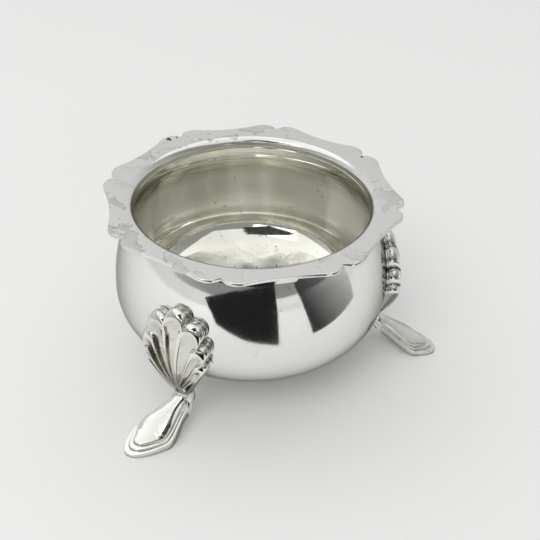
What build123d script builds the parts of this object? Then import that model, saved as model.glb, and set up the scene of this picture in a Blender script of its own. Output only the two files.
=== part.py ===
from build123d import *
import os
from math import asin, atan2, cos, degrees, radians, sin, sqrt, tan

# Open salt of cauldron form: a round bowl, a notched rim border and three shell feet, soldered together.
# Millimetres and degrees. The origin is on the bowl's axis, on the table. +Z is up, and one foot points to +X.

# Rim border
rim_height = 40.0             # top of the border's points above the table
rim_across_points = 62.0
rim_lobes = 8
rim_turn = -12.6              # first notch, counted from the foot on +X
rim_valley_dip = 1.95         # how far the middle of a lobe lies inside the points
rim_shoulder_radius = 4.0     # round shoulder on each side of a notch
rim_shoulder_offset = 2.9     # notch centre to the highest place of the shoulder
rim_notch_width = 3.2
rim_notch_depth = 1.5
rim_sheet = 0.8               # thickness of the border
rim_dish = 6.0                # upward slope of the border towards its points
lip_roll = 1.8                # rounding of the lip into the mouth
lip_land = 0.1                # upright land below the rounding

# Bowl
mouth_diameter = 48.8
bowl_wall = 0.7
belly_diameter = 59.0
belly_height = 19.2           # widest place above the table
belly_corner = 10.3           # curve from the belly to the base
base_dome = 52.0              # shallow curve of the base
neck_hollow = 4.9             # hollow curve under the border, where the shoulder turns upright

# Feet
knee_stand = 3.1              # front of the shell, out from the belly
knee_height = 19.7            # where the front stands out furthest
knee_bow = 23.0               # curve of the shell's front, seen from the side
ankle_height = 6.8            # lower end of the shell's leg
flute_root_rise = 1.6         # ankle to the place where the flutes meet
flute_root_radius = 2.0
fan_centre_height = 19.4
fan_crown = 8.4               # fan centre to the middle of the top lobe
fan_half_width = 5.9
fan_step = 38.4               # angle between the top lobe and the next, about the fan's centre
fan_closing = 0.10            # share by which the angles close up towards the sides
fan_side_lobes = 3            # lobes on each side of the top one
lobe_radius = 2.35            # round end of the top lobe and of the two beside it
lobe_taper = 0.25             # share lost by each lobe further out
blade_root_share = 0.6        # half width of a blade at the root, as a share of the root's radius
flute_radius = 2.1            # hollow of the top lobe
flute_depth_share = 0.5       # depth of a hollow as a share of its radius
flute_start_share = 0.16      # first station of a hollow, from the root to the lobe
leg_leaves_bowl = 15.5        # below this height the leg stands clear of the bowl
leg_bite = 0.4                # how far the leg's back starts inside the bowl's outline there
ankle_thickness = 2.1
pad_forward = 0.55            # start of the pad, out from the leg's front at the ankle
pad_sweep = -18.0             # the pads sweep sideways on their way out
pad_length = 13.6             # ankle to toe
pad_width = 8.8
pad_widest = 8.2              # ankle to the corners of the pad
pad_corner = 20.0             # turn of the outline at those corners
pad_step_width = 1.1          # each border step lies inside the one below
pad_step_height = 0.5
pad_steps = 2
pad_edge = 0.75               # thickness of the toe's edge
pad_heel_drop = 2.0           # underside of the heel, below the ankle
pad_sole_start = 7.2          # ankle to the flat sole
pad_slope = 28.0
tongue_rise = 0.6             # crest of the tongue above the ankle
tongue_crown = 4.2            # rounding of the tongue across the pad

# Solder
solder_film = 0.12            # between the bowl and what is soldered to it
solder_creep = 0.3            # how far the film runs out past a shell

mouth_radius = mouth_diameter / 2
neck_radius = mouth_radius + bowl_wall
belly_radius = belly_diameter / 2
point_radius = rim_across_points / 2
knee_reach = belly_radius + knee_stand
flute_root_height = ankle_height + flute_root_rise
tongue_height = ankle_height + tongue_rise
pad_heel_height = ankle_height - pad_heel_drop
lip_tangent = lip_roll * tan(radians(45 - rim_dish / 2))
lip_corner_height = rim_height - (point_radius - mouth_radius) * tan(radians(rim_dish))
seat_height = lip_corner_height - lip_tangent - lip_land      # underside of the border's collar
edge_height = seat_height - solder_film                       # top edge of the bowl


def upright(r, z):
    return Vector(r, 0, z)


def upright_arc(centre, radius, start, end):
    """Arc in the XZ plane from angle start to angle end."""
    turn = [start, (start + end) / 2, end]
    return ThreePointArc(*[upright(centre[0] + radius * cos(radians(a)), centre[1] + radius * sin(radians(a)))
                           for a in turn])


def closed(edges):
    """Edges with a straight line from the last end back to the first start."""
    return Face(Wire(edges + [Line(edges[-1] @ 1, edges[0] @ 0)]))


# Bowl

belly_centre = (belly_radius - belly_corner, belly_height)
dome_rise = sqrt((base_dome - belly_corner) ** 2 - belly_centre[0] ** 2)
base_centre = (0, belly_height + dome_rise)
base_angle = degrees(atan2(-dome_rise, belly_centre[0]))
# The shoulder leaves the belly upright and meets the neck's hollow curve in one smooth line.
neck_inset = belly_radius - neck_radius
neck_rise = edge_height - belly_height
shoulder_curve = (neck_inset ** 2 + neck_rise ** 2) / (2 * neck_inset) - neck_hollow
shoulder_centre = (belly_radius - shoulder_curve, belly_height)
neck_centre = (neck_radius + neck_hollow, edge_height)
shoulder_angle = degrees(atan2(neck_rise, neck_centre[0] - shoulder_centre[0]))


def belly_reach(z):
    """Radius of the bowl's outside at a height below its widest place."""
    return belly_centre[0] + sqrt(belly_corner ** 2 - (belly_height - z) ** 2)


def bowl_outline(offset):
    """The bowl's outside from the middle of the base up to its top edge, moved outwards by offset."""
    return [upright_arc(base_centre, base_dome + offset, -90, base_angle),
            upright_arc(belly_centre, belly_corner + offset, base_angle, 0),
            upright_arc(shoulder_centre, shoulder_curve + offset, 0, shoulder_angle),
            upright_arc(neck_centre, neck_hollow - offset, shoulder_angle + 180, 180)]


def bowl_envelope(offset):
    """Everything within the bowl's outside, moved outwards by offset."""
    outline = bowl_outline(offset)
    return revolve(closed(outline + [Line(outline[-1] @ 1, upright(0, edge_height))]), Axis.Z)


def make_bowl():
    outside, inside = bowl_outline(0), bowl_outline(-bowl_wall)
    wall = Wire(outside + [Line(outside[-1] @ 1, inside[-1] @ 1)] + inside
                + [Line(inside[0] @ 0, outside[0] @ 0)])
    return revolve(Face(wall), Axis.Z)


# Rim border

def rim_under(r):
    """Height of the border's underside at radius r."""
    return rim_height - (point_radius - r) * tan(radians(rim_dish)) - rim_sheet / cos(radians(rim_dish))


def lobe_edges():
    """One lobe of the border's outline, about the X axis, from notch to notch."""
    half = 180 / rim_lobes
    valley_radius = point_radius - rim_valley_dip
    rise = point_radius - rim_shoulder_radius
    turn = degrees(rim_shoulder_offset / point_radius)
    shoulder = Vector(rise, 0).rotate(Axis.Z, half - turn)
    # The valley is hollow: its circle lies outside the border and touches both shoulder circles.
    gap = valley_radius - shoulder.X
    valley_curve = (shoulder.Y ** 2 + gap ** 2 - rim_shoulder_radius ** 2) / (2 * (rim_shoulder_radius - gap))
    valley = Vector(valley_radius + valley_curve, 0)
    join = shoulder + (valley - shoulder).normalized() * rim_shoulder_radius
    top = shoulder + shoulder.normalized() * rim_shoulder_radius
    side = rise * sin(radians(turn)) - rim_notch_width / 2
    flank = Vector(rise * cos(radians(turn)) + sqrt(rim_shoulder_radius ** 2 - side ** 2),
                   -rim_notch_width / 2).rotate(Axis.Z, half)
    apex = Vector(point_radius - rim_notch_depth, 0).rotate(Axis.Z, half)
    upper = [ThreePointArc(join, top, flank), Line(flank, apex)]
    lower = [edge.mirror(Plane.XZ) for edge in upper]
    return lower + [ThreePointArc(lower[0] @ 0, Vector(valley_radius, 0), join)] + upper


def make_rim():
    corner = upright(mouth_radius, lip_corner_height)
    roll_start = corner - Vector(0, 0, lip_tangent)
    roll_end = corner + upright(cos(radians(rim_dish)), sin(radians(rim_dish))) * lip_tangent
    roll_centre = (mouth_radius + lip_roll, roll_start.Z)
    outer = point_radius + rim_sheet
    section = closed([
        Line(upright(mouth_radius, seat_height), roll_start),
        upright_arc(roll_centre, lip_roll, 180, 90 + rim_dish),
        Line(roll_end, upright(outer, rim_height + (outer - point_radius) * tan(radians(rim_dish)))),
        Line(upright(outer, rim_height + (outer - point_radius) * tan(radians(rim_dish))),
             upright(outer, rim_under(outer))),
        Line(upright(outer, rim_under(outer)), upright(neck_radius, rim_under(neck_radius))),
        Line(upright(neck_radius, rim_under(neck_radius)), upright(neck_radius, seat_height))])
    ring = revolve(section, Axis.Z)
    edges = []
    for lobe in range(rim_lobes):
        turn = rim_turn + (lobe + 0.5) * 360 / rim_lobes
        edges += [edge.rotate(Axis.Z, turn) for edge in lobe_edges()]
    outline = extrude(Face(Wire(edges)), amount=2 * rim_height, dir=(0, 0, 1))
    return ring & outline


def make_rim_seam():
    """Flat ring of solder between the bowl's edge and the border's collar."""
    corners = [(mouth_radius, edge_height), (neck_radius, edge_height),
               (neck_radius, seat_height), (mouth_radius, seat_height)]
    return revolve(Face(Wire(Polyline(*[upright(*corner) for corner in corners], close=True))), Axis.Z)


# Feet, made on +X

def front_reach(z):
    return knee_reach - knee_bow + sqrt(knee_bow ** 2 - (z - knee_height) ** 2)


def lobes():
    """Centre and radius of each lobe of the shell, in the YZ plane."""
    for number in range(-fan_side_lobes, fan_side_lobes + 1):
        further = max(0, abs(number) - 1)
        turn = radians(number * fan_step * (1 - fan_closing * further))
        centre = Vector(fan_half_width * sin(turn), fan_centre_height + fan_crown * cos(turn))
        yield centre, lobe_radius * (1 - lobe_taper * further)


def blade_face(centre, radius):
    """Front view of one lobe: straight sides from the root out to a round end."""
    root = Vector(0, flute_root_height)
    line = centre - root
    along = line.normalized()
    square = Vector(-along.Y, along.X)
    root_half = flute_root_radius * blade_root_share
    lean = asin((radius - root_half) / line.length)
    ends = [centre + square * side * radius * cos(lean) - along * radius * sin(lean) for side in (-1, 1)]
    starts = [root + square * side * root_half for side in (-1, 1)]
    return Face(Wire([Line(starts[0], ends[0]), ThreePointArc(ends[0], centre + along * radius, ends[1]),
                      Line(ends[1], starts[1]), Line(starts[1], starts[0])]))


def fan_face(grow):
    """Front view of the whole shell."""
    root = Pos(0, flute_root_height) * Circle(flute_root_radius + grow)
    return root + [blade_face(centre, radius + grow) for centre, radius in lobes()]


def shell_prism(grow):
    return extrude(Plane.YZ * fan_face(grow), amount=2 * knee_reach)


def flute(centre, radius):
    """Tapered hollow that follows the bowed front from the root to the middle of a lobe."""
    root = Vector(0, flute_root_height)
    stations = []
    for share in (flute_start_share, 0.5, 0.75, 1.0):
        place = root + (centre - root) * share
        reach = front_reach(place.Y)
        bend = (place.Y - knee_height) / sqrt(knee_bow ** 2 - (place.Y - knee_height) ** 2)
        front = Vector(sqrt(reach ** 2 - place.X ** 2), place.X, place.Y)
        outward = Vector(front.X / reach, front.Y / reach, bend).normalized()
        size = radius * share
        middle = front + outward * size * (1 - flute_depth_share)
        across = outward.cross(Vector(0, place.X - root.X, place.Y - root.Y)).normalized()
        stations.append(Plane(middle, x_dir=outward, z_dir=across.cross(outward)) * Circle(size))
        end = Pos(*middle) * Sphere(size)
    return loft(stations) + end


def make_shell():
    top = fan_centre_height + fan_crown + 2 * lobe_radius
    front = ThreePointArc(*[upright(front_reach(z), z) for z in (top, knee_height, ankle_height)])
    leg_back = front_reach(ankle_height) - ankle_thickness
    inner = mouth_radius / 2
    corners = [front @ 1, upright(leg_back, ankle_height),
               upright(belly_reach(leg_leaves_bowl) - leg_bite, leg_leaves_bowl),
               upright(inner, leg_leaves_bowl), upright(inner, top)]
    band = revolve(closed([front] + [Line(a, b) for a, b in zip(corners, corners[1:])]), Axis.Z)
    shell = (shell_prism(0) & band) - bowl_envelope(solder_film)
    for centre, radius in lobes():
        shell -= flute(centre, flute_radius * radius / lobe_radius)
    return shell


def pad_layer(step, top_line):
    """One step of the pad: its plan cut to its side view. X runs from the ankle to the toe."""
    inset = step * pad_step_width
    half, toe = pad_width / 2 - inset, pad_length - inset
    heel_half = flute_root_radius
    sweep = tan(radians(pad_sweep))

    def swept(x, y):
        return Vector(x, y + sweep * x)

    def flank(side):
        return Spline(swept(0, side * heel_half), swept(pad_widest, side * half), tangents=[(1, sweep), (1, sweep)])

    def toe_curve(side):
        return Spline(swept(pad_widest, side * half), swept(toe, 0),
                      tangents=[(1, sweep - side * tan(radians(pad_corner))), (0, -side)])

    heel = ThreePointArc(swept(0, heel_half), swept(-heel_half / 2, 0), swept(0, -heel_half))
    plan = Face(Wire([flank(-1), toe_curve(-1), toe_curve(1), flank(1), heel]))
    sole = [(pad_length, 0), (pad_sole_start, 0), (-heel_half, pad_heel_height)]
    side_view = Face(Wire(Polyline(*[upright(*point) for point in sole + top_line], close=True)))
    return extrude(plan, amount=2 * tongue_height, dir=(0, 0, 1)) & extrude(side_view, amount=4 * pad_width, both=True)


def make_pad():
    slope = tan(radians(pad_slope))
    low_heel = pad_heel_height + flute_root_radius
    layers = []
    for step in range(pad_steps):
        edge = pad_edge + step * pad_step_height
        layers.append(pad_layer(step, [(-flute_root_radius, low_heel + step * pad_step_height),
                                       (pad_widest, edge + pad_edge), (pad_length, edge)]))
    edge = pad_edge + pad_steps * pad_step_height
    crest_end = (tongue_height - edge) / slope
    tongue = pad_layer(pad_steps, [(-flute_root_radius, tongue_height + flute_root_radius * slope),
                                   (min(crest_end, pad_length), max(edge, tongue_height - pad_length * slope)),
                                   (pad_length, edge)])
    along = Vector(1, tan(radians(pad_sweep)), -slope).normalized()
    square = (Vector(0, 0, 1) - along * along.Z).normalized()
    barrel = Plane(upright(0, tongue_height) - square * tongue_crown, z_dir=along)
    return layers[0] + layers[1:] + (tongue & barrel * Cylinder(tongue_crown, 4 * pad_length))


def make_foot(turn):
    pad = Pos(front_reach(ankle_height) + pad_forward, 0, 0) * make_pad()
    return Rot(0, 0, turn) * (make_shell() + pad)


def make_foot_solder(turn):
    film = (bowl_envelope(solder_film) - bowl_envelope(0)) & shell_prism(solder_creep)
    above = Pos(0, 0, leg_leaves_bowl) * Box(4 * knee_reach, 4 * knee_reach, rim_height,
                                             align=(Align.CENTER, Align.CENTER, Align.MIN))
    return Rot(0, 0, turn) * (film & above)


parts = {"bowl": make_bowl(), "rim_border": make_rim(), "rim_solder_seam": make_rim_seam()}
feet = ("foot_right", "foot_rear", "foot_front")
for number, name in enumerate(feet):
    turn = number * 360 / len(feet)
    parts[name] = make_foot(turn)
    parts[name + "_solder"] = make_foot_solder(turn)

os.makedirs("parts", exist_ok=True)
for name, shape in parts.items():
    export_step(shape, f"parts/{name}.step")
    print(name, len(shape.solids()), "solid", round(shape.volume, 2), "cubic mm")
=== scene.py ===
import bmesh
import bpy
import math
from mathutils import Matrix, Vector


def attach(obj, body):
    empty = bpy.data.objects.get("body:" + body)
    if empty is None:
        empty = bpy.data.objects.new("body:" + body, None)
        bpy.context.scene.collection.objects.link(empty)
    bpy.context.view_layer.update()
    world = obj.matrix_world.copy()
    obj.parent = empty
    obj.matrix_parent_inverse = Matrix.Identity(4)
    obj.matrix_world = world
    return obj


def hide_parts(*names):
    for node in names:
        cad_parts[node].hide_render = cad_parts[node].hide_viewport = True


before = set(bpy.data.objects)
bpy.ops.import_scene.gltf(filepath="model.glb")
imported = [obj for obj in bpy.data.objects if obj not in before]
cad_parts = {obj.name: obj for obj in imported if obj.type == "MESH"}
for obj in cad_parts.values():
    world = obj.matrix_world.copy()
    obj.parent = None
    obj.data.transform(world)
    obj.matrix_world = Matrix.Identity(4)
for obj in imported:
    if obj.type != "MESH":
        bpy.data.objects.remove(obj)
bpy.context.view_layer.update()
mm = 0.001  # pieces are shaped in millimetres and scaled when finished
weldGap, thinEdge = 0.002, 0.0002
betweenSheets = 0.5  # above this a place is in the upper sheet of a doubled grid


# small helpers

def arcPoints(centre, radius, start, end, steps):
    turns = [math.radians(start + (end - start) * i / steps) for i in range(steps + 1)]
    return [Vector((centre[0] + radius * math.cos(a), 0, centre[1] + radius * math.sin(a))) for a in turns]


def ease(x):  # soft start and soft end
    return x * x * (3 - 2 * x)


def softMax(one, two, blur):
    return two + blur * math.log(1 + math.exp((one - two) / blur))


def spinProfile(bm, points, steps, closed=False, angle=math.tau):
    before = set(bm.faces)
    verts = [bm.verts.new(p) for p in points]
    pairs = list(zip(verts, verts[1:])) + ([(verts[-1], verts[0])] if closed else [])
    edges = [bm.edges.new(pair) for pair in pairs]
    bmesh.ops.spin(bm, geom=verts + edges, cent=(0, 0, 0), axis=(0, 0, 1), angle=angle,
                   steps=steps, use_merge=angle == math.tau)
    return [face for face in bm.faces if face not in before]


def doubleSheet(wide, tall):  # a grid with a second grid above it, joined all round
    bm = bmesh.new()
    bmesh.ops.create_grid(bm, x_segments=wide, y_segments=tall, size=1)
    lifted = bmesh.ops.extrude_face_region(bm, geom=bm.faces[:], use_keep_orig=True)
    for vert in [v for v in lifted["geom"] if isinstance(v, bmesh.types.BMVert)]:
        vert.co.z = 1
    return bm


def onGrid(place, count):  # from -1..1 on the grid to 0..count
    return (place + 1) / 2 * count


def turnPiece(bm, degrees):
    turn = Matrix.Rotation(math.radians(degrees), 3, "Z")
    bmesh.ops.rotate(bm, cent=(0, 0, 0), matrix=turn, verts=bm.verts[:])


def finishPiece(bm, name, materials, slot, *nodes):
    bmesh.ops.remove_doubles(bm, verts=bm.verts[:], dist=weldGap)
    bmesh.ops.dissolve_degenerate(bm, edges=bm.edges[:], dist=thinEdge)
    bmesh.ops.recalc_face_normals(bm, faces=bm.faces[:])
    bmesh.ops.scale(bm, vec=(mm, mm, mm), verts=bm.verts[:])
    mesh = bpy.data.meshes.new(name)
    bm.to_mesh(mesh)
    bm.free()
    mesh.shade_smooth()
    for material in materials:
        mesh.materials.append(material)
    piece = bpy.data.objects.new(name, mesh)
    bpy.context.scene.collection.objects.link(piece)
    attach(piece, "root")
    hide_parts(*nodes)
    print(name, len(mesh.polygons), "faces")


# nodes

def newMaterial(name):
    material = bpy.data.materials.new(name)
    material.use_nodes = True
    return material, material.node_tree, material.node_tree.nodes["Principled BSDF"]


def feed(tree, socket, value):  # a link from another node, or a fixed value
    if isinstance(value, bpy.types.NodeSocket):
        tree.links.new(value, socket)
    else:
        socket.default_value = value


def objectPlace(tree):
    return tree.nodes.new("ShaderNodeTexCoord").outputs["Object"]


def noise(tree, scale, detail, distortion=0.0, stretch=None, turn=(0, 0, 0)):
    node = tree.nodes.new("ShaderNodeTexNoise")
    node.inputs["Scale"].default_value = scale
    node.inputs["Detail"].default_value = detail
    node.inputs["Distortion"].default_value = distortion
    place = objectPlace(tree)
    if stretch:
        mapping = tree.nodes.new("ShaderNodeMapping")
        mapping.inputs["Scale"].default_value = stretch
        mapping.inputs["Rotation"].default_value = [math.radians(a) for a in turn]
        tree.links.new(place, mapping.inputs["Vector"])
        place = mapping.outputs["Vector"]
    tree.links.new(place, node.inputs["Vector"])
    return node.outputs["Fac"]


def ramp(tree, source, stops):
    node = tree.nodes.new("ShaderNodeValToRGB")
    while len(node.color_ramp.elements) < len(stops):
        node.color_ramp.elements.new(0.5)
    for element, (place, value) in zip(node.color_ramp.elements, stops):
        element.position = place
        element.color = (value, value, value, 1)
    tree.links.new(source, node.inputs["Fac"])
    return node.outputs["Color"]


def mapRange(tree, source, span, values=(0, 1)):  # one value up to the span's start, the other from its end
    node = tree.nodes.new("ShaderNodeMapRange")
    for name, value in zip(("From Min", "From Max", "To Min", "To Max"), (*span, *values)):
        node.inputs[name].default_value = value
    tree.links.new(source, node.inputs["Value"])
    return node.outputs["Result"]


def combine(tree, operation, *values):
    node = tree.nodes.new("ShaderNodeMath")
    node.operation = operation
    for socket, value in zip(node.inputs, values):
        feed(tree, socket, value)
    return node.outputs["Value"]


def measure(tree, operation, one, two=None):
    node = tree.nodes.new("ShaderNodeVectorMath")
    node.operation = operation
    tree.links.new(one, node.inputs[0])
    if two is not None:
        node.inputs[1].default_value = two
    return node.outputs["Value"]


def blend(tree, amount, one, two):
    node = tree.nodes.new("ShaderNodeMix")
    node.data_type = "RGBA"
    for socket, value in ((node.inputs["A"], one), (node.inputs["B"], two)):
        feed(tree, socket, (*value, 1) if isinstance(value, tuple) else value)
    tree.links.new(amount, node.inputs["Factor"])
    return node.outputs["Result"]


def bump(tree, height, depth):
    node = tree.nodes.new("ShaderNodeBump")
    node.inputs["Distance"].default_value = depth * mm
    tree.links.new(height, node.inputs["Height"])
    return node


def along(tree, axis):
    parts = tree.nodes.new("ShaderNodeSeparateXYZ")
    tree.links.new(objectPlace(tree), parts.inputs["Vector"])
    return parts.outputs[axis]


def byHeight(tree, stops):  # a value that changes with the height on the piece
    top = stops[-1][0]
    level = mapRange(tree, along(tree, "Z"), (0, top * mm))
    return ramp(tree, level, [(z / top, value) for z, value in stops])


def nearPlace(tree, place, reach):  # one at a place, none beyond its reach
    gap = measure(tree, "DISTANCE", objectPlace(tree), Vector(place) * mm)
    return mapRange(tree, gap, (0, reach * mm), (1, 0))


# silver: the sizes of patterns are counted in spots to the metre

wear = {
    "stainEdge": ((0.535, 0), (0.55, 1), (0.57, 0.45), (0.66, 0.3)), "stainDull": 0.12,
    "hazeSize": 70, "hazeSpread": ((0.4, 0), (0.62, 1)), "smearSpread": ((0.42, 0), (0.58, 1)),
    "speckSize": 900, "speckSpread": ((0.70, 0), (0.74, 1)),
    "speckPlaces": 55, "placeSpread": ((0.52, 0), (0.68, 1)),
    "pitSize": 700, "pitSpread": ((0.30, 0), (0.36, 1)), "pitColour": (0.06, 0.055, 0.05),
    "cloudSize": 130, "hairStretch": (3200, 90, 3200), "hairSpread": ((0.66, 0), (0.72, 1)),
    "hairTurns": ((20, 35, 10), (70, -25, 60), (-40, 15, 110)),
}
polished = {
    "name": "silverOutside", "colour": (0.86, 0.85, 0.83), "edgeTint": (0.45, 0.44, 0.42),
    "stainColour": (0.62, 0.60, 0.55), "stain": 0.25, "stainSize": 150, "pits": 0.3,
    "roughness": (0.02, 0.12), "hairs": 0.10, "dents": 0.05, "dentSize": 70,
    "streaks": 0.004, "streakStretch": (900, 900, 60),
}
satin = dict(
    polished, name="silverInside", colour=(0.97, 0.96, 0.90), stainColour=(0.82, 0.80, 0.71),
    stain=0.4, stainSize=90, pits=0.6, hairs=0.05, dents=0.08,
    streaks=0.03, streakStretch=(150, 150, 12),
    smear=((14, 0.1), (17, 0.6), (30, 0.6), (33, 0.2)),  # by height, like wallRoughness and wallMetal
    smearStretch=(120, 120, 14), smearColour=(0.62, 0.60, 0.50),
    wallRoughness=((16.5, 0.0), (19, 0.05), (32, 0.05), (34, 0.0)),
    wallMetal=((15.5, 1.0), (17.5, 0.7), (20, 0.34), (28, 0.34), (30.5, 0.65), (33, 1.0)),
)
stained = dict(
    polished, name="silverBorder", colour=(0.88, 0.875, 0.86), stainColour=(0.50, 0.50, 0.47),
    stain=0.95, stainSize=210, pits=0.9, roughness=(0.08, 0.26), hairs=0.03, dentSize=90,
    deepPits=(((-18.4, 23.4, 39.7), 1.5), ((-16.8, 24.4, 39.7), 1.0), ((24.8, 15.3, 39.7), 0.9)),
)
cast = dict(
    polished, name="silverFoot", colour=(0.89, 0.88, 0.85), stainColour=(0.42, 0.38, 0.31),
    stain=0.4, stainSize=300, roughness=(0.03, 0.14), dents=0.04, dentSize=240,
)
# darker, browner colour painted into the flute hollows and the pad's risers as shade
hollowShade = dict(
    cast, name="silverHollowShade", colour=(0.77, 0.755, 0.70), stainColour=(0.45, 0.42, 0.34),
    stain=0.7, roughness=(0.08, 0.24),
)
# the solder's own dull grey, made darker still to paint a shade line under the shell edges and at the rim's
# seam
solderAndShade = dict(
    polished, name="silverSolder", colour=(0.45, 0.44, 0.40), stainColour=(0.25, 0.24, 0.21),
    stain=0.7, roughness=(0.25, 0.45), dents=0.03, dentSize=500,
)


def stainedColour(tree, look):  # dried-on stains: faint patches with a thin darker outline
    outline = ramp(tree, noise(tree, look["stainSize"], detail=2.5, distortion=0.5), wear["stainEdge"])
    haze = ramp(tree, noise(tree, wear["hazeSize"], detail=3.0), wear["hazeSpread"])
    stain = combine(tree, "MULTIPLY", combine(tree, "MULTIPLY", outline, haze), look["stain"])
    colour = blend(tree, stain, look["colour"], look["stainColour"])
    if "smear" in look:  # upright smears from wiping
        smear = noise(tree, 1, detail=3.0, distortion=0.3, stretch=look["smearStretch"])
        smear = ramp(tree, smear, wear["smearSpread"])
        smear = combine(tree, "MULTIPLY", smear, byHeight(tree, look["smear"]))
        colour = blend(tree, smear, colour, look["smearColour"])
    return stain, colour


def pitMarks(tree, look):  # tiny dark specks in a few places, and single deep pits
    specks = ramp(tree, noise(tree, wear["speckSize"], detail=1.0), wear["speckSpread"])
    places = ramp(tree, noise(tree, wear["speckPlaces"], detail=1.0), wear["placeSpread"])
    pits = combine(tree, "MULTIPLY", combine(tree, "MULTIPLY", specks, places), look["pits"])
    for place, reach in look.get("deepPits", ()):
        ragged = noise(tree, wear["pitSize"], detail=2.0, distortion=0.6)
        ragged = combine(tree, "MULTIPLY", ragged, nearPlace(tree, place, reach))
        pits = combine(tree, "MAXIMUM", pits, ramp(tree, ragged, wear["pitSpread"]))
    return pits


def wornGloss(tree, look):  # cloudy gloss and hairline scratches
    low, high = look["roughness"]
    cloud = noise(tree, wear["cloudSize"], detail=5.0)
    cloud = combine(tree, "MULTIPLY_ADD", cloud, high - low, low)
    if "wallRoughness" in look:
        cloud = combine(tree, "ADD", cloud, byHeight(tree, look["wallRoughness"]))
    hairs = None
    for turn in wear["hairTurns"]:
        lines = noise(tree, 1, detail=1.0, stretch=wear["hairStretch"], turn=turn)
        lines = ramp(tree, lines, wear["hairSpread"])
        hairs = lines if hairs is None else combine(tree, "MAXIMUM", hairs, lines)
    return combine(tree, "MULTIPLY_ADD", hairs, look["hairs"], cloud)


def silver(look):
    material, tree, shader = newMaterial(look["name"])
    shader.inputs["Metallic"].default_value = 1.0
    shader.inputs["Specular Tint"].default_value = (*look["edgeTint"], 1)
    stain, colour = stainedColour(tree, look)
    colour = blend(tree, pitMarks(tree, look), colour, wear["pitColour"])
    tree.links.new(colour, shader.inputs["Base Color"])
    gloss = combine(tree, "MULTIPLY_ADD", stain, wear["stainDull"], wornGloss(tree, look))
    tree.links.new(gloss, shader.inputs["Roughness"])
    if "wallMetal" in look:  # the wall is duller than the floor of the bowl
        tree.links.new(byHeight(tree, look["wallMetal"]), shader.inputs["Metallic"])
    # hand work: shallow dents, and brushed streaks where the finish is satin
    dents = bump(tree, noise(tree, look["dentSize"], detail=2.0), look["dents"])
    streaks = bump(tree, noise(tree, 1, detail=3.0, stretch=look["streakStretch"]), look["streaks"])
    tree.links.new(dents.outputs["Normal"], streaks.inputs["Normal"])
    tree.links.new(streaks.outputs["Normal"], shader.inputs["Normal"])
    return material


silverOutside, silverInside, silverBorder, silverFoot, silverHollowShade, silverSolder = [
    silver(look) for look in (polished, satin, stained, cast, hollowShade, solderAndShade)]
print("materials ready")


# bowl

bowl = {
    "mouthRadius": 24.4, "wall": 0.7, "edgeHeight": 37.465,
    "bellyRadius": 29.5, "bellyHeight": 19.2, "bellyCorner": 10.3,
    "baseDome": 52.0, "neckHollow": 4.9, "turns": 224,
    "outsideSteps": (28, 28, 24, 14), "insideSteps": (20, 24, 56, 44),
    "turnedLines": ((37.36, 0.14), (36.4, 0.02), (33.9, 0.06), (33.0, 0.05), (28.8, -0.03)),  # height, depth
    "lineWidth": 0.15,
}


def bowlCurves():
    b = bowl
    inner = b["bellyRadius"] - b["bellyCorner"]
    rise = math.sqrt((b["baseDome"] - b["bellyCorner"]) ** 2 - inner ** 2)
    inset = b["bellyRadius"] - b["mouthRadius"] - b["wall"]
    neckRise = b["edgeHeight"] - b["bellyHeight"]
    shoulder = (inset ** 2 + neckRise ** 2) / (2 * inset) - b["neckHollow"]
    neckX = b["mouthRadius"] + b["wall"] + b["neckHollow"]
    shoulderX = b["bellyRadius"] - shoulder
    return {
        "baseCentre": (0, b["bellyHeight"] + rise), "baseTurn": math.degrees(math.atan2(-rise, inner)),
        "bellyCentre": (inner, b["bellyHeight"]), "shoulder": shoulder,
        "shoulderCentre": (shoulderX, b["bellyHeight"]),
        "shoulderTurn": math.degrees(math.atan2(neckRise, neckX - shoulderX)),
        "neckCentre": (neckX, b["edgeHeight"]),
    }


def bowlProfile(offset, steps):
    c = bowlCurves()
    line = arcPoints(c["baseCentre"], bowl["baseDome"] + offset, -90, c["baseTurn"], steps[0])
    line += arcPoints(c["bellyCentre"], bowl["bellyCorner"] + offset, c["baseTurn"], 0, steps[1])[1:]
    line += arcPoints(c["shoulderCentre"], c["shoulder"] + offset, 0, c["shoulderTurn"], steps[2])[1:]
    neckStart = c["shoulderTurn"] + 180
    line += arcPoints(c["neckCentre"], bowl["neckHollow"] - offset, neckStart, 180, steps[3])[1:]
    return line


def turnLines(line):  # fine grooves left by turning the neck, and one raised line below them
    for point in line:
        for height, depth in bowl["turnedLines"]:
            point.x += depth * math.exp(-((point.z - height) / bowl["lineWidth"]) ** 2)
    return line


def bowlReach(z):  # radius of the outside at a height
    c = bowlCurves()
    if z < bowl["bellyHeight"]:
        drop = min(bowl["bellyHeight"] - z, bowl["bellyCorner"])
        return c["bellyCentre"][0] + math.sqrt(bowl["bellyCorner"] ** 2 - drop ** 2)
    return c["shoulderCentre"][0] + math.sqrt(c["shoulder"] ** 2 - (z - bowl["bellyHeight"]) ** 2)


def makeBowl():
    bm = bmesh.new()
    outside = bowlProfile(0, bowl["outsideSteps"])
    inside = turnLines(bowlProfile(-bowl["wall"], bowl["insideSteps"]))
    spinProfile(bm, outside + inside[-1:], bowl["turns"])
    for face in spinProfile(bm, inside, bowl["turns"]):
        face.material_index = 1  # the inside keeps a satin finish
    finishPiece(bm, "bowl_raised", (silverOutside, silverInside), "silver_sheet", "bowl")


makeBowl()


# rim border

rim = {
    "height": 40.0, "pointRadius": 31.0, "lobes": 8, "turn": -12.6, "dip": 1.95,
    "shoulder": 4.0, "shoulderOffset": 2.9, "notchWidth": 3.2, "notchDepth": 1.5, "cornerRound": 0.14,
    "sheet": 0.8, "dish": 6.0, "roll": 1.8, "rollSteps": 18, "land": 0.1,
    "edgeRound": 0.28, "edgeSteps": 5,
    "topRows": (27, 28, 29, 29.8), "underRows": (29.5, 28, 26.5),
    "collarFoot": 0.2, "collarDrop": 0.15, "flatMargin": 0.1, "lobeSteps": 180,
}


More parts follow.
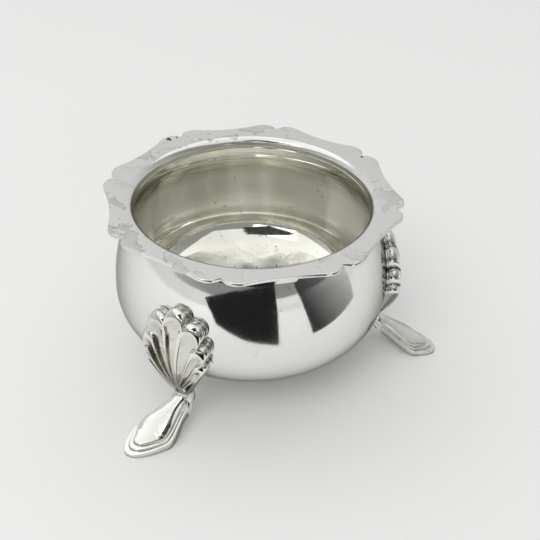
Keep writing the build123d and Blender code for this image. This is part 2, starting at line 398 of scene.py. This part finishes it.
def rimRadius(turn):  # radius of the lobed outline, at an angle from the middle of a lobe
    half = math.pi / rim["lobes"]
    rise = rim["pointRadius"] - rim["shoulder"]
    lean = rim["shoulderOffset"] / rim["pointRadius"]
    centre = Vector((rise * math.cos(half - lean), rise * math.sin(half - lean)))
    valley = rim["pointRadius"] - rim["dip"]
    gap = valley - centre.x
    hollow = (centre.y ** 2 + gap ** 2 - rim["shoulder"] ** 2) / (2 * (rim["shoulder"] - gap))
    outer = Vector((valley + hollow, 0))
    join = centre + (outer - centre).normalized() * rim["shoulder"]
    ray = Vector((math.cos(turn), math.sin(turn)))
    if turn < math.atan2(join.y, join.x):
        return outer.x * ray.x - math.sqrt(hollow ** 2 - (outer.x * ray.y) ** 2)
    away = centre.x * ray.y - centre.y * ray.x
    onShoulder = centre.dot(ray) + math.sqrt(rim["shoulder"] ** 2 - away ** 2)
    across = onShoulder * math.sin(half - turn)
    inNotch = rim["pointRadius"] - rim["notchDepth"] + across * 2 * rim["notchDepth"] / rim["notchWidth"]
    soft = rim["cornerRound"]
    return onShoulder - soft * math.log(1 + math.exp((onShoulder - inNotch) / soft))


def rimSection():
    slope = math.tan(math.radians(rim["dish"]))
    mouth, out, edge = bowl["mouthRadius"], rim["pointRadius"], rim["edgeRound"]
    neck = mouth + bowl["wall"]
    tangent = rim["roll"] * math.tan(math.radians(45 - rim["dish"] / 2))
    under = rim["sheet"] / math.cos(math.radians(rim["dish"]))

    def top(r):
        return rim["height"] - (out - r) * slope

    rollHeight = top(mouth) - tangent
    low, rollEnd = rollHeight - rim["land"], 90 + rim["dish"]
    section = [Vector((mouth, 0, low))]
    section += arcPoints((mouth + rim["roll"], rollHeight), rim["roll"], 180, rollEnd, rim["rollSteps"])
    section += [Vector((r, 0, top(r))) for r in rim["topRows"]]
    section += arcPoints((out - edge, top(out) - edge), edge, 90, 0, rim["edgeSteps"])
    section += arcPoints((out - edge, top(out) - under + edge), edge, 0, -90, rim["edgeSteps"])
    section += [Vector((r, 0, top(r) - under)) for r in (*rim["underRows"], neck + rim["collarFoot"])]
    section += [Vector((neck, 0, top(neck) - under - rim["collarDrop"])), Vector((neck, 0, low))]
    return section, mouth + tangent * math.cos(math.radians(rim["dish"])), slope


def makeRim():
    section, flatStart, slope = rimSection()
    lobe, flatWidth = math.tau / rim["lobes"], rim["pointRadius"] - flatStart
    bm = bmesh.new()
    spinProfile(bm, section, rim["lobeSteps"], True, lobe)
    for vert in bm.verts:
        reach = math.hypot(vert.co.x, vert.co.y)
        if reach > flatStart + rim["flatMargin"]:
            turn = abs(math.atan2(vert.co.y, vert.co.x) - lobe / 2)
            moved = flatStart + (reach - flatStart) * (rimRadius(turn) - flatStart) / flatWidth
            vert.co.x *= moved / reach
            vert.co.y *= moved / reach
            vert.co.z += (moved - reach) * slope
    bmesh.ops.spin(bm, geom=bm.verts[:] + bm.edges[:] + bm.faces[:], cent=(0, 0, 0), axis=(0, 0, 1),
                   angle=math.tau - lobe, steps=rim["lobes"] - 1, use_duplicate=True)
    turnPiece(bm, rim["turn"])
    finishPiece(bm, "rim_border_shaped", (silverBorder,), "silver_sheet", "rim_border")


makeRim()


# feet: a shell on a bowed knee, a narrow ankle and a stepped pad

foot = {
    "kneeReach": 32.6, "kneeHeight": 19.7, "kneeBow": 23.0, "film": 0.12,
    "leavesBowl": 15.5, "legOverlap": 0.3, "ankleHeight": 6.8, "ankleBack": 26.54, "ankleHalf": 2.0,
    "ankleBend": (-0.55, 0, -0.84), "anklePull": 1.2, "ankleSteps": 6,
    "rootHeight": 8.4, "rootRound": 0.6, "spineRise": 1.0, "spineSpeed": 3,
    "shellLow": 8.5, "sideDrawn": 0.2, "sideSteps": 12, "rows": 42,
    "fanCentre": 19.4, "fanCrown": 8.4, "fanHalf": 5.9, "fanStep": 38.4, "fanClosing": 0.10,
    "sideLobes": 3, "lobeRadius": 2.35, "lobeTaper": 0.25, "lobeSteps": 26,
    "bead": 1.4, "beadMost": 0.45, "beadDepth": 1.0, "beadTurn": 150, "beadRows": 18,
    "fluteDepth": 0.75, "fluteWidth": 0.88, "fluteStart": 0.08, "fluteBand": 0.2,
    "fluteEnd": 1.6, "fluteOpening": 0.8, "fluteRound": 2.6, "shadeDepth": 0.06,
}


def frontReach(z):
    rise = z - foot["kneeHeight"]
    return foot["kneeReach"] - foot["kneeBow"] + math.sqrt(foot["kneeBow"] ** 2 - rise ** 2)


def backReach(z):
    onBowl = bowlReach(z) + foot["film"]
    share = (z - foot["ankleHeight"]) / (foot["leavesBowl"] - foot["ankleHeight"])
    top = bowlReach(foot["leavesBowl"]) - foot["legOverlap"]
    leg = foot["ankleBack"] + share * (top - foot["ankleBack"])
    return onBowl if z > foot["leavesBowl"] else max(onBowl, leg)


def shellPoint(w, z, sink):  # a place on the shell's bowed front, sunk into it
    reach = frontReach(z)
    rise = z - foot["kneeHeight"]
    bend = rise / math.sqrt(foot["kneeBow"] ** 2 - rise ** 2)
    front = Vector((math.sqrt(reach ** 2 - w ** 2), w, z))
    return front - Vector((front.x / reach, front.y / reach, bend)).normalized() * sink


def shellBack(w, z):
    return Vector((math.sqrt(backReach(z) ** 2 - w ** 2), w, z))


def lobeCircles():
    circles = []
    for number in range(-foot["sideLobes"], foot["sideLobes"] + 1):
        further = max(0, abs(number) - 1)
        turn = math.radians(number * foot["fanStep"] * (1 - foot["fanClosing"] * further))
        height = foot["fanCentre"] + foot["fanCrown"] * math.cos(turn)
        centre = Vector((foot["fanHalf"] * math.sin(turn), height))
        circles.append((centre, foot["lobeRadius"] * (1 - foot["lobeTaper"] * further)))
    return circles


def valleyBetween(one, two):  # where two neighbouring lobes meet, on the outer side
    (a, ra), (b, rb) = one, two
    line = b - a
    gap = line.length
    reach = (ra ** 2 - rb ** 2 + gap ** 2) / (2 * gap)
    square = Vector((-line.y, line.x)).normalized()
    return a + line * (reach / gap) + square * math.sqrt(max(0.01, ra ** 2 - reach ** 2))


def shellColumns():  # boundary point, inner end and place across a flute, from the right ankle to the left
    circles = lobeCircles()[::-1]
    root = Vector((0, foot["rootHeight"]))
    spine = root + Vector((0, foot["spineRise"]))
    ends = [None] + [valleyBetween(a, b) for a, b in zip(circles, circles[1:])] + [None]
    last, lastRadius = circles[0]
    line = last - root
    lean = math.asin((lastRadius - foot["rootRound"] * foot["ankleHalf"]) / line.length)
    square = Vector((line.y, -line.x)).normalized()
    ends[0] = last + square * lastRadius * math.cos(lean) - line.normalized() * lastRadius * math.sin(lean)
    ends[-1] = Vector((-ends[0].x, ends[0].y))
    low, lowSpine = Vector((foot["ankleHalf"], foot["shellLow"])), Vector((0, foot["shellLow"]))
    columns = []
    for i in range(foot["sideSteps"]):
        share = i / foot["sideSteps"]
        edge = low.lerp(ends[0], share)
        edge.x -= foot["sideDrawn"] * math.sin(math.pi * share)  # the sides are drawn in a little
        columns.append((edge, lowSpine.lerp(spine, min(1, share * foot["spineSpeed"])), None))
    for (centre, radius), start, end in zip(circles, ends, ends[1:]):
        a = math.atan2(*(start - centre).yx)
        b = math.atan2(*(end - centre).yx)
        if b < a:
            b += math.tau
        steps = foot["lobeSteps"]
        for i in range(steps):
            turn = a + (b - a) * i / steps
            place = centre + Vector((math.cos(turn), math.sin(turn))) * radius
            columns.append((place, spine, (2 * i / steps - 1, radius)))
    for edge, inner, across in columns[:foot["sideSteps"]][::-1]:
        columns.append((Vector((-edge.x, edge.y)), inner, None))
    return columns


def fluteSink(share, length, across):  # teardrop hollows with narrow ridges between them
    if not across or share < foot["fluteStart"]:
        return 0.0
    place, radius = across
    size = radius / foot["lobeRadius"]
    end = 1 - foot["fluteBand"] * size / length
    widest = end - foot["fluteEnd"] * radius / length
    if share > end or abs(place) > foot["fluteWidth"]:
        return 0.0
    x = abs(place) / foot["fluteWidth"]
    depth = foot["fluteDepth"] * size
    if share < widest:
        rise = (share - foot["fluteStart"]) / (widest - foot["fluteStart"])
        return depth * rise ** foot["fluteOpening"] * (1 - x ** foot["fluteRound"])
    down = math.hypot(x, (share - widest) / (end - widest))
    return depth * max(0.0, 1 - down ** foot["fluteRound"])


def shellColumn(edge, inner, across):
    rows, beadRows = foot["rows"], foot["beadRows"]
    line = edge - inner
    beadStart = edge - line.normalized() * min(foot["bead"], line.length * foot["beadMost"])
    front, back, hollow = [], [], []
    for i in range(rows + 1):
        sink = 0.0
        if i <= rows - beadRows:
            share = i / (rows - beadRows)
            place = inner.lerp(beadStart, share)
            sink = fluteSink(share, (beadStart - inner).length, across)
            front.append(shellPoint(place.x, place.y, sink))
        else:  # the edge is rounded like a bead from front to back
            turn = math.radians(foot["beadTurn"] * (i - rows + beadRows) / beadRows)
            place = beadStart.lerp(edge, math.sin(turn))
            through = foot["beadDepth"] * (1 - math.cos(turn)) / 2
            front.append(shellPoint(place.x, place.y, 0).lerp(shellBack(place.x, place.y), through))
        back.append(shellBack(place.x, place.y))
        hollow.append(sink > foot["shadeDepth"])
    return front, back, hollow


pad = {
    "start": 29.19, "sweep": -18.0, "length": 13.6, "half": 4.4, "widest": 8.2, "corner": 20.0,
    "first": 0.9, "startHalf": 2.3, "flankSteps": 26, "toeSteps": 22,
    "edge": 0.75, "edgeRound": 0.15, "padBlur": 0.12, "heelDrop": 2.0, "soleStart": 7.2,
    "stepHeight": 0.5, "riser": 0.16, "flankStep": 0.55, "toeStep": 1.05,
    "ankleStep": 0.3, "fadedStep": 0.02, "fade": 5.0,  # the steps fade along the left flank
    "tongueHeight": 7.4, "tongueRise": 0.6, "tongueLeast": 0.1,
    "slope": 28.0, "crown": 0.3, "crestBlur": 0.35,
    "stepRows": (13, 18, 22, 27), "edgeRow": 33,  # rows at both ends of each riser, and at the edge
}


def swept(s, t, z):  # the pad runs out from the ankle and to one side
    return Vector((pad["start"] + s, t + math.tan(math.radians(pad["sweep"])) * s, z))


def padFlank(firstStep, fade):  # places and step widths along a flank, from the ankle to the widest place
    points = []
    for i in range(pad["flankSteps"]):
        share = i / pad["flankSteps"]
        points.append((pad["first"] + (pad["widest"] - pad["first"]) * share,
                       -(pad["startHalf"] + (pad["half"] - pad["startHalf"]) * ease(share)),
                       firstStep + (pad["flankStep"] - firstStep) * share ** fade))
    return points


def padOutline():  # along the left flank, round the toe and along the right flank
    left, points = padFlank(pad["fadedStep"], pad["fade"]), padFlank(pad["ankleStep"], 1)
    corner, tip = Vector((pad["widest"], -pad["half"])), Vector((pad["length"], 0))
    pull = (tip - corner).length
    lean = math.radians(pad["corner"])
    leave, arrive = Vector((math.cos(lean), math.sin(lean))) * pull, Vector((0, pull))
    for i in range(pad["toeSteps"] + 1):
        u = i / pad["toeSteps"]
        place = (corner * (2 * u ** 3 - 3 * u ** 2 + 1) + leave * (u ** 3 - 2 * u ** 2 + u)
                 + tip * (3 * u ** 2 - 2 * u ** 3) + arrive * (u ** 3 - u ** 2))
        points.append((place.x, place.y, pad["flankStep"] + (pad["toeStep"] - pad["flankStep"]) * u))
    return left + points[pad["flankSteps"]:] + [(s, -t, step) for s, t, step in points[-2::-1]]


def padHeel():  # underside of the heel
    return pad["tongueHeight"] - pad["tongueRise"] - pad["heelDrop"]


def padTop(s):
    widest, edge, heelEnd = pad["widest"], pad["edge"], foot["ankleHalf"]
    heel = 2 * edge + (widest - s) * (padHeel() + heelEnd - 2 * edge) / (widest + heelEnd)
    return softMax(heel, edge * (1 + (pad["length"] - s) / (pad["length"] - widest)), pad["padBlur"])


def padUnder(s):
    return max(0.0, padHeel() * (pad["soleStart"] - s) / (pad["soleStart"] + foot["ankleHalf"]))


def padHeight(s, inside, half, step):  # height at a distance inside the edge
    base, rise = padTop(s), pad["stepHeight"]

    def riser(at):  # soft riser just inside a place
        return ease(min(1, max(0, (inside - at) / pad["riser"])))

    tongueEdge = base + 2 * rise
    ridge = pad["tongueHeight"] - math.tan(math.radians(pad["slope"])) * s
    crest = softMax(ridge, tongueEdge + pad["crown"], pad["crestBlur"])
    across = min(1, max(0, (half - inside) / max(half - 2 * step, pad["tongueLeast"])))
    tongue = tongueEdge + (crest - tongueEdge) * (1 - across ** 2) - base - rise
    corner = max(0, 1 - inside / pad["edgeRound"])
    rounded = pad["edgeRound"] * (1 - math.sqrt(1 - corner * corner))
    return base - rounded + rise * riser(step) + tongue * riser(2 * step)


def padColumn(s, t, step):  # rows are close together at the risers and at the edge
    inner = min(s, pad["widest"])
    half = math.hypot(s - inner, t)
    riser, rows = pad["riser"], foot["rows"]
    upper, upperEnd, lower, lowerEnd = pad["stepRows"]
    stops = [(0, half), (upper, 2 * step + riser), (upperEnd, 2 * step), (lower, step + riser),
             (lowerEnd, step), (pad["edgeRow"], pad["edgeRound"]), (rows, 0)]
    front, back = [], []
    for (i, a), (j, b) in zip(stops, stops[1:]):
        for k in range(j - i + (j == rows)):
            inside = a + (b - a) * k / (j - i)
            share = 1 - inside / half
            x, y = inner + (s - inner) * share, t * share
            front.append(swept(x, y, padHeight(x, inside, half, step)))
            back.append(swept(x, y, padUnder(x)))
    # the rows at the risers take the darker hollow colour, painted shade on the steps
    return front, back, [upper <= row < upperEnd or lower <= row < lowerEnd for row in range(rows + 1)]


def ankleColumns(shell, padEnd):  # a hollow curve from the leg's front into the top of the pad
    pull = Vector(foot["ankleBend"]) * foot["anklePull"]
    made = []
    for i in range(1, foot["ankleSteps"]):
        u = i / foot["ankleSteps"]
        lines = []
        for a, b in zip(shell[:2], padEnd[:2]):
            lines.append([p * (1 - u) ** 2 + (p + pull) * 2 * u * (1 - u) + r * u * u
                          for p, r in zip(a, b)])
        made.append(lines + [padEnd[2]])
    return made


def footColumns():  # front places, back places and hollow marks, once round the foot
    shell = [shellColumn(*column) for column in shellColumns()]
    pads = [padColumn(*place) for place in padOutline()]
    left = ankleColumns(shell[-1], pads[0])
    right = ankleColumns(shell[0], pads[-1])[::-1]
    return shell + left + pads + right + [shell[0]]


def makeFoot(name, turn, columns):
    wide, tall = len(columns) - 1, foot["rows"]
    bm = doubleSheet(wide, tall)

    def inSheet(face):  # walls along the spine and the seam are inside the foot
        if len({round(v.co.z) for v in face.verts}) == 1:
            return True
        return all(v.co.y > 0.999 for v in face.verts)

    bmesh.ops.delete(bm, geom=[f for f in bm.faces if not inSheet(f)], context="FACES")
    for face in bm.faces:
        middle = face.calc_center_median()
        if middle.z > betweenSheets:
            column, row = int(onGrid(middle.x, wide)), int(onGrid(middle.y, tall))
            face.material_index = int(columns[column][2][min(row, tall)])  # painted shade stays in the hollows and on the pad's risers
    for vert in bm.verts:
        column = columns[round(onGrid(vert.co.x, wide))]
        vert.co = column[0 if vert.co.z > betweenSheets else 1][round(onGrid(vert.co.y, tall))]
    turnPiece(bm, turn)
    finishPiece(bm, name + "_cast", (silverFoot, silverHollowShade), "silver_cast", name)


solder = {"low": 16.5, "rows": 6, "inset": 0.55}


def makeSolder(name, turn):  # the film behind a shell, with a narrow edge in sight whose dark colour paints a shade line under the shell
    lobes = [(edge, inner) for edge, inner, across in shellColumns() if across]
    wide = len(lobes) - 1
    low = Vector((0, solder["low"]))
    bm = doubleSheet(wide, solder["rows"])
    for vert in bm.verts:
        edge, inner = lobes[round(onGrid(vert.co.x, wide))]
        end = edge - (edge - inner).normalized() * solder["inset"]
        place = low.lerp(end, onGrid(vert.co.y, 1))
        reach = bowlReach(place.y) + (foot["film"] if vert.co.z > betweenSheets else 0)
        vert.co = Vector((math.sqrt(reach ** 2 - place.x ** 2), place.x, place.y))
    turnPiece(bm, turn)
    finishPiece(bm, name + "_solder_film", (silverSolder,), "silver_solder", name + "_solder")


footPlaces = {"foot_right": 0, "foot_rear": 120, "foot_front": 240}  # degrees round the bowl
columns = footColumns()
for name, turn in footPlaces.items():
    makeFoot(name, turn, columns)
    makeSolder(name, turn)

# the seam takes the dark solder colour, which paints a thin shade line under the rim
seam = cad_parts["rim_solder_seam"]
seam.data.materials.clear()
seam.data.materials.append(silverSolder)
print("pieces ready")


# camera

camera = {
    "distance": 163.0, "elevation": 31.15, "roll": 0.78, "azimuth": -2.0,
    "focal": 790.0, "rimPixel": (252.57, 192.0), "image": 540, "sensor": 36.0, "nearest": 5.0,
}


def makeCamera():
    tilt, roll = math.radians(camera["elevation"]), math.radians(camera["roll"])
    forward = Vector((0, math.cos(tilt), -math.sin(tilt)))
    right = Vector((1, 0, 0))
    up = right.cross(forward)
    right, up = right * math.cos(roll) + up * math.sin(roll), up * math.cos(roll) - right * math.sin(roll)
    middle = camera["image"] / 2
    x, y = camera["rimPixel"]
    seen = Vector(((x - middle) / camera["focal"], (middle - y) / camera["focal"], 1)).normalized()
    swing = seen.rotation_difference(Vector((0, 0, 1))).to_matrix()
    axes = swing.transposed() @ Matrix((right, up, forward))
    pose = Matrix((axes[0], axes[1], -axes[2])).transposed().to_4x4()
    pose.translation = (Vector((0, 0, rim["height"])) - forward * camera["distance"]) * mm
    data = bpy.data.cameras.new("photoCamera")
    data.sensor_width = camera["sensor"]
    data.lens = camera["focal"] / camera["image"] * camera["sensor"]
    data.clip_start = camera["nearest"] * mm
    holder = bpy.data.objects.new("photoCamera", data)
    holder.matrix_world = Matrix.Rotation(math.radians(camera["azimuth"]), 4, "Z") @ pose
    bpy.context.scene.collection.objects.link(holder)
    bpy.context.scene.camera = holder


# studio: floor, dark cards, room and lamps

def stagePiece(name, bm, colour):
    material, tree, shader = newMaterial(name)
    shader.inputs["Base Color"].default_value = (*colour, 1)
    shader.inputs["Roughness"].default_value = 0.8
    shader.inputs["Specular IOR Level"].default_value = 0.0
    mesh = bpy.data.meshes.new(name)
    bm.to_mesh(mesh)
    bm.free()
    mesh.materials.append(material)
    piece = bpy.data.objects.new(name, mesh)
    bpy.context.scene.collection.objects.link(piece)
    return piece, tree, shader


floor = {  # metres
    "colour": (0.94, 0.945, 0.94), "flat": 2.6, "turns": 96,
    "cove": 0.6, "coveTurn": (-90, -20), "coveSteps": 16,
    "glowAndShade": ((0.03, 0.0), (0.15, 0.05), (1.6, 0.32)),  # distance from the middle, strength; the weak glow near the middle is a painted shadow round the piece
}


def makeFloor():
    bm = bmesh.new()  # flat, and rising far behind the piece
    cove = arcPoints((floor["flat"], floor["cove"]), floor["cove"], *floor["coveTurn"], floor["coveSteps"])
    spinProfile(bm, [Vector((0, 0, 0))] + cove, floor["turns"])
    bmesh.ops.remove_doubles(bm, verts=bm.verts[:], dist=mm)
    piece, tree, shader = stagePiece("floor", bm, floor["colour"])
    # a paler ground for the camera and the silver alone, with no more light on the piece; it fades out near
    # the middle, a painted shadow round the piece
    path = tree.nodes.new("ShaderNodeLightPath")
    shown = combine(tree, "MAXIMUM", path.outputs["Is Camera Ray"], path.outputs["Is Glossy Ray"])
    last = floor["glowAndShade"][-1][0]
    far = combine(tree, "DIVIDE", measure(tree, "LENGTH", objectPlace(tree)), last)
    level = ramp(tree, far, [(reach / last, value) for reach, value in floor["glowAndShade"]])
    tree.links.new(combine(tree, "MULTIPLY", shown, level), shader.inputs["Emission Strength"])


cards = {  # corners in millimetres; a card with a fade thins out between two places to the right
    "frontFlag": {
        "colour": (0.02, 0.02, 0.022),
        "corners": ((20, -72, 0.5), (-9, -88, 0.5), (-50, -108, 8), (-80, -115, 40),
                    (-30, -118, 56), (30, -115, 62)),
    },
    "sideFlag": {
        "colour": (0.05, 0.05, 0.052), "fade": (58, 190),
        "corners": ((50, -64, 0.5), (112, -30, 0.5), (210, -50, 75), (60, -108, 62)),
    },
    "highFlag": {
        "colour": (0.02, 0.02, 0.022),
        "corners": ((65, -472, 456), (38, -318, 665), (-125, -290, 645), (-318, -297, 543),
                    (-378, -317, 431), (-170, -507, 378)),
    },
}


def makeCard(name, colour, corners, fade=None):  # gives the polished silver something to reflect
    bm = bmesh.new()
    bm.faces.new([bm.verts.new(Vector(corner) * mm) for corner in corners])
    piece, tree, shader = stagePiece(name, bm, colour)
    piece.visible_camera = piece.visible_shadow = piece.visible_diffuse = False
    if fade:
        start, end = fade
        thin = mapRange(tree, along(tree, "X"), (start * mm, end * mm), (1, 0))
        tree.links.new(thin, shader.inputs["Alpha"])


room = {
    "colour": (0.985, 1.0, 0.99), "brightSide": (-0.3, 1.0, -0.4),
    "span": (-0.7, 0.9), "strength": (0.27, 0.80),
}


def makeRoom():  # pale, and darker on the camera's side
    world = bpy.data.worlds.new("softRoom")
    world.use_nodes = True
    tree = world.node_tree
    background = tree.nodes["Background"]
    background.inputs["Color"].default_value = (*room["colour"], 1)
    direction = tree.nodes.new("ShaderNodeTexCoord").outputs["Generated"]
    towards = measure(tree, "DOT_PRODUCT", direction, room["brightSide"])
    level = mapRange(tree, towards, room["span"], room["strength"])
    tree.links.new(level, background.inputs["Strength"])
    bpy.context.scene.world = world


lampColour = (1, 1, 0.985)
lamps = {  # metres and watts
    "topSoftbox": {"place": (-0.15, -0.1, 0.8), "aim": (-0.15, -0.1, 0), "size": (1.5, 1.3), "power": 3.5},
    "frontFill": {"place": (-0.22, -0.46, 0.6), "aim": (0, 0, 0.03), "size": (0.5, 0.4), "power": 1.5},
}


def areaLight(name, place, aim, size, power):
    data = bpy.data.lights.new(name, "AREA")
    data.shape = "RECTANGLE"
    data.size, data.size_y = size
    data.energy = power
    data.color = lampColour
    lamp = bpy.data.objects.new(name, data)
    lamp.location = place
    lamp.rotation_mode = "QUATERNION"
    lamp.rotation_quaternion = (Vector(aim) - Vector(place)).to_track_quat("-Z", "Y")
    bpy.context.scene.collection.objects.link(lamp)


makeCamera()
makeFloor()
makeRoom()
for name, card in cards.items():
    makeCard(name, **card)
for name, lamp in lamps.items():
    areaLight(name, **lamp)
bpy.context.scene.view_settings.view_transform = "Standard"
print("studio ready")
